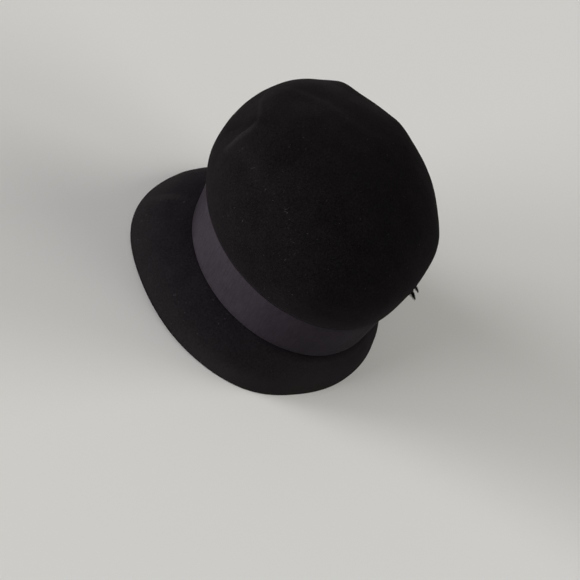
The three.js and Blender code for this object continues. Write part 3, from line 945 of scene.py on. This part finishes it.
def band_path():
    """Azimuths and lengths along the ribbon, with equal steps so that the ribs are even."""
    fine = np.linspace(LAP_START, LAP_END, PATH_STEPS)
    middle = foot_point(fine, RIBBON, (BREAK_Z + RIBBON_TOP_Z) / 2)
    steps = np.linalg.norm(np.diff(middle, axis=0), axis=1)
    lengths = np.concatenate([[0], np.cumsum(steps)])
    ribs = int(lengths[-1] / RIB_PITCH)
    along = np.arange(ribs * RIB_COLUMNS + 1) * RIB_PITCH / RIB_COLUMNS
    return np.interp(along, lengths, fine), along


def make_band(material):
    """The ribbon: one strip drawn tight round the crown's foot, with its end lapped over its start."""
    azimuths, along = band_path()
    top, foot = RIBBON_TOP_Z - GAP, BREAK_Z + GAP
    heights = np.concatenate([[top], np.linspace(top - RIM_STEP, foot + RIM_STEP, BAND_ROWS), [foot]])
    rim = np.zeros(len(heights))
    rim[0], rim[-1] = 1, -1
    face = crown_face(azimuths[None, :], heights[:, None])
    ways = grid_normals(face, closed=False)
    lap = LAP_START + 360
    over = LAP_RISE * ease(azimuths, lap - LAP_RAMP, lap)
    length, height = BAND_SWELL
    loose = height * swells(face, length, BAND_SEED)
    inner_offset = GAP + over + loose
    outer_offset = inner_offset + CLOTH * np.where(rim == 0, 1, RIM_THINNESS)[:, None]
    outer = face + ways * outer_offset[..., None]
    inner = face + ways * inner_offset[..., None]
    outer[[0, -1], :, 2] = heights[[0, -1], None]
    inner[[0, -1], :, 2] = heights[[0, -1], None]
    stack = np.concatenate([outer, inner[::-1]])
    rows, columns = stack.shape[:2]
    faces = grid_faces(rows, columns, wrap_rows=True, wrap_columns=False)
    for row in range(len(heights) - 1):
        quad = np.array([row, row + 1, rows - 2 - row, rows - 1 - row]) * columns
        faces.append(quad[::-1].tolist())
        faces.append((quad + columns - 1).tolist())
    band = make_piece("ribbon_band", stack, faces, material)
    both = np.concatenate([ways, ways[::-1]])
    outside = np.concatenate([np.ones(len(heights)), np.zeros(len(heights))])
    store(band, "along", np.tile(along, rows))
    store(band, "outside", np.repeat(outside, columns))
    store(band, "rim", np.repeat(np.concatenate([rim, rim[::-1]]), columns))
    store(band, "outward", both, "FLOAT_VECTOR")
    across = np.concatenate([heights, heights[::-1]])
    store_uv(band, np.stack(np.broadcast_arrays(along[None, :], across[:, None]), axis=-1))
    tree, keys = rib_tree(material)
    apply_tree(band, tree, keys, {"Pitch": RIB_PITCH, "Height": RIB_HEIGHT, "Scallop": RIB_SCALLOP})
    return band, along[-1]


# Feather spray

def spray_axes():
    """Where the feathers leave the knot, and the directions back and out there."""
    offset = GAP + RIBBON + GAP + TAB_THICKNESS / 2
    base = foot_point(np.array(TAB_AZIMUTH), offset, np.array(TAB_Z))
    ahead = foot_point(np.array(TAB_AZIMUTH - 1), offset, np.array(TAB_Z))
    back = (ahead - base) / np.linalg.norm(ahead - base)
    out = np.array([-back[1], back[0], 0])
    return base, back, out


def feather_stations(feather, shares):
    """Middle, tangent, flat side and face of a feather at shares of its length."""
    base, back, out = spray_axes()
    back_way, up_way, out_way, raise_way, _ = np.array(feather) * MM
    bend = base + back * back_way / 2 + UP * (up_way / 2 + raise_way) + out * out_way * BEND_OUT
    tip = base + back * back_way + UP * up_way + out * out_way
    shares = shares[:, None]
    middle = (1 - shares) ** 2 * base + 2 * shares * (1 - shares) * bend + shares ** 2 * tip
    tangent = 2 * (1 - shares) * (bend - base) + 2 * shares * (tip - bend)
    tangent /= np.linalg.norm(tangent, axis=1, keepdims=True)
    flat = np.cross(tangent, out)
    flat /= np.linalg.norm(flat, axis=1, keepdims=True)
    return middle, tangent, flat, np.cross(flat, tangent)


def make_quill(index, feather, material):
    """The bare shaft of a feather, tapered from its root to its tip."""
    shares = np.linspace(0, QUILL_END, QUILL_STATIONS)
    middle, _, flat, face = feather_stations(feather, shares)
    angles = np.linspace(0, 2 * math.pi, QUILL_SIDES, endpoint=False)[None, :, None]
    radius = (QUILL_RADIUS - QUILL_TAPER * shares)[:, None, None]
    rings = middle[:, None] + radius * (np.cos(angles) * flat[:, None] + np.sin(angles) * face[:, None])
    return capped_stack(f"quill_{index}", rings, [middle[0], middle[-1]], material)


def barb_points(feather, draw):
    """Places, turns and lengths of the barbs of one feather."""
    width = feather[-1] * MM
    shares = np.linspace(BARB_START, QUILL_END, BARB_ROWS)
    middle, tangent, flat, face = feather_stations(feather, shares)
    places, turns, sizes = [], [], []
    for side in (1, -1):
        splits = draw.uniform(*SPLIT_RANGE, SPLITS)
        for row, share in enumerate(shares):
            swell_angle = math.pi * (BARB_SWELL_START + (1 - BARB_SWELL_START) * share)
            swell = math.sin(swell_angle) ** BARB_SWELL_POWER
            near_split = sum(math.exp(-((share - place) / SPLIT_REACH) ** 2) for place in splits)
            lean = BARB_LEAN - BARB_LEAN_LESS * share + SPLIT_LEAN * near_split
            lean = math.radians(lean + draw.normal(0, LEAN_SCATTER))
            along = math.cos(lean) * tangent[row] + side * math.sin(lean) * flat[row]
            along += face[row] * draw.normal(*LIFT_SCATTER)
            along /= np.linalg.norm(along)
            normal = face[row] - along * (face[row] @ along)
            normal /= np.linalg.norm(normal)
            matrix = Matrix(np.stack([along, np.cross(normal, along), normal], axis=1))
            places.append(middle[row])
            turns.append(matrix.to_euler())
            sizes.append(width / 2 * swell / math.sin(lean) * draw.uniform(*LENGTH_RANGE))
    return places, turns, sizes


def make_barb(material):
    """One barb of length 1 along X: thin, tapered and slightly bent."""
    shares = np.linspace(0, 1, BARB_STATIONS)
    middle = np.stack([shares, BARB_BEND * shares ** 2, 0 * shares], axis=1)
    half_width = BARB_HALF_WIDTH * (1 - BARB_WIDTH_TAPER * shares)
    half_depth = BARB_HALF_DEPTH * (1 - BARB_DEPTH_TAPER * shares)
    sides = np.array([[0, 1, 0], [0, 0, 1], [0, -1, 0], [0, 0, -1]])
    reach = np.stack([0 * shares, half_width, half_depth], axis=1)
    rings = middle[:, None] + sides[None] * reach[:, None]
    point = middle[-1] + np.array([BARB_POINT, 0, 0])
    return capped_stack("barb", rings, [middle[0], point], material)


def barb_tree(material):
    """Sets a barb on every point, turned and sized by the values kept there."""
    tree, start, keys = geometry_tree("barbs", {
        "Barb": "NodeSocketObject",
        "Scatter": "NodeSocketFloat",
        "Seed": "NodeSocketInt",
    })
    source = add_node(tree, "GeometryNodeObjectInfo", {"Object": start.outputs["Barb"]})
    barb = source.outputs["Geometry"]
    low = maths(tree, "SUBTRACT", 1.0, start.outputs["Scatter"])
    high = maths(tree, "ADD", 1.0, start.outputs["Scatter"])
    draw = add_node(tree, "FunctionNodeRandomValue", data_type="FLOAT")
    tree.links.new(low, draw.inputs[2])
    tree.links.new(high, draw.inputs[3])
    tree.links.new(start.outputs["Seed"], draw.inputs["Seed"])
    size = maths(tree, "MULTIPLY", kept_field(tree, "size"), draw.outputs[1])
    placed = add_node(tree, "GeometryNodeInstanceOnPoints", {
        "Points": start.outputs[0],
        "Instance": barb,
        "Rotation": kept_field(tree, "turn", "FLOAT_VECTOR"),
        "Scale": size,
    }).outputs[0]
    finish_tree(tree, placed, material)
    return tree, keys


def make_spray(material):
    """Dark feathers that sweep back from the knot, each a quill with two rows of barbs."""
    draw = np.random.default_rng(SPRAY_SEED)
    places, turns, sizes = [], [], []
    for feather in FEATHERS:
        for kept, more in zip((places, turns, sizes), barb_points(feather, draw)):
            kept.extend(more)
    barbs = make_piece("barbs", places, [], material)
    store(barbs, "turn", turns, "FLOAT_VECTOR")
    store(barbs, "size", sizes)
    barb = make_barb(material)
    tree, keys = barb_tree(material)
    apply_tree(barbs, tree, keys, {"Barb": barb, "Scatter": SIZE_SCATTER, "Seed": BARB_SEED})
    bpy.data.objects.remove(barb)
    quills = [make_quill(index, feather, material) for index, feather in enumerate(FEATHERS)]
    return join_pieces("feather_spray", [barbs, *quills])


def make_knot(material):
    """Ribbon wrapped round the quills: a flattened tube along the crown with soft pleats."""
    places = np.linspace(-1, 1, KNOT_ROWS)
    azimuths = TAB_AZIMUTH - TAB_HALF_SPAN * places
    out = np.array([direction(azimuth, 0) for azimuth in azimuths])
    angles = np.linspace(0, 2 * math.pi, KNOT_COLUMNS, endpoint=False)[None, :]
    thick = TAB_THICKNESS / 2
    offset = GAP + RIBBON + LAP_RISE + KNOT_CLEARANCE + thick
    middle = foot_point(azimuths, offset, np.full(KNOT_ROWS, TAB_Z))
    along = places[:, None]
    pinch = 1 - KNOT_PINCH * along ** 2 + KNOT_SKEW * along
    pleat_turns = PLEATS * along + PLEAT_SLANT * np.sin(angles)
    fold = np.abs(np.sin(math.pi * pleat_turns)) ** PLEAT_ROUNDNESS
    outwards = np.sign(np.cos(angles)) * np.abs(np.cos(angles)) ** KNOT_SQUARE_OUT
    upwards = np.sign(np.sin(angles)) * np.abs(np.sin(angles)) ** KNOT_SQUARE_UP
    depth = thick * outwards * (1 - PLEAT_DEPTH * (1 - fold))
    height = TAB_HALF_HEIGHT * upwards * (pinch - PLEAT_DIP * (1 - fold))
    rings = middle[:, None] + out[:, None] * depth[..., None] + UP * height[..., None]
    first = [middle[0] + (rings[0] - middle[0]) * tuck for tuck in KNOT_TUCKS]
    last = [middle[-1] + (rings[-1] - middle[-1]) * tuck for tuck in reversed(KNOT_TUCKS)]
    stack = np.stack([*first, *rings, *last])
    knot = capped_stack("feather_knot", stack, [middle[0], middle[-1]], material)
    around = angles / (2 * math.pi) * 4 * TAB_HALF_HEIGHT
    flat = np.stack(np.broadcast_arrays(around, along * TAB_HALF_HEIGHT), axis=-1)
    flat = np.concatenate([flat[:1], flat[:1], flat, flat[-1:], flat[-1:]]).reshape(-1, 2)
    store_uv(knot, np.concatenate([flat, flat[:1], flat[-1:]]))
    return knot


# Floor, light and camera

def make_floor(material):
    """A level floor, wide enough to fill every view."""
    half = FLOOR_HALF
    corners = [(-half, -half, 0), (half, -half, 0), (half, half, 0), (-half, half, 0)]
    return make_piece("floor", corners, [[0, 1, 2, 3]], material)


def soft_sun(name, azimuth, elevation, strength, colour):
    """A soft light from far away, as from a large window."""
    data = bpy.data.lights.new(name, "SUN")
    data.angle = math.radians(LIGHT_WIDTH)
    data.energy = strength
    data.color = colour
    light = bpy.data.objects.new(name, data)
    bpy.context.scene.collection.objects.link(light)
    way = Vector(direction(azimuth, elevation))
    light.rotation_euler = way.to_track_quat("Z", "Y").to_euler()


def make_lights():
    """The four soft lights, and a low even light from all round."""
    for name, values in LIGHTS.items():
        soft_sun(name, *values)
    world = bpy.data.worlds.new("studio")
    world.use_nodes = True
    background = world.node_tree.nodes["Background"]
    background.inputs["Color"].default_value = WORLD_COLOUR
    background.inputs["Strength"].default_value = WORLD_STRENGTH
    bpy.context.scene.world = world
    bpy.context.scene.view_settings.view_transform = "Standard"


def make_camera():
    """A camera at the photograph's angle, rolled because the hat is tilted there."""
    back = Vector(direction(VIEW_AZIMUTH, VIEW_ELEVATION))
    level = Vector(direction(VIEW_AZIMUTH + 90, 0))
    steep = back.cross(level)
    roll = math.radians(VIEW_ROLL)
    right = math.cos(roll) * level + math.sin(roll) * steep
    up = math.cos(roll) * steep - math.sin(roll) * level
    data = bpy.data.cameras.new("camera")
    data.lens = VIEW_LENS
    camera = bpy.data.objects.new("camera", data)
    bpy.context.scene.collection.objects.link(camera)
    place = VIEW_TARGET + back * VIEW_DISTANCE + right * VIEW_SLIDE[0] + up * VIEW_SLIDE[1]
    camera.matrix_world = Matrix.Translation(place) @ Matrix((right, up, back)).transposed().to_4x4()
    bpy.context.scene.camera = camera


crown_felt = felt_material("crown_felt", CROWN_COLOUR)
# The brim's copy of the felt is painted lighter, as painted sheen
brim_felt = felt_material("brim_felt", BRIM_COLOUR_PAINTED_SHEEN)
ribbon = ribbon_material()
feather = feather_material()

make_camera()
make_lights()
make_floor(floor_material())

crown = make_crown(crown_felt)
brim = make_brim(brim_felt)
band, band_length = make_band(ribbon)
spray = make_spray(feather)
knot = make_knot(ribbon)

for piece, nodes, slot in (
    (crown, ["crown"], "felt"),
    (brim, ["brim"], "felt"),
    (band, ["band"], "ribbon"),
    (spray, ["feather_trim"], "feather"),
    (knot, [], "ribbon"),
):
    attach(piece, "root")
    if nodes:
        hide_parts(*nodes)
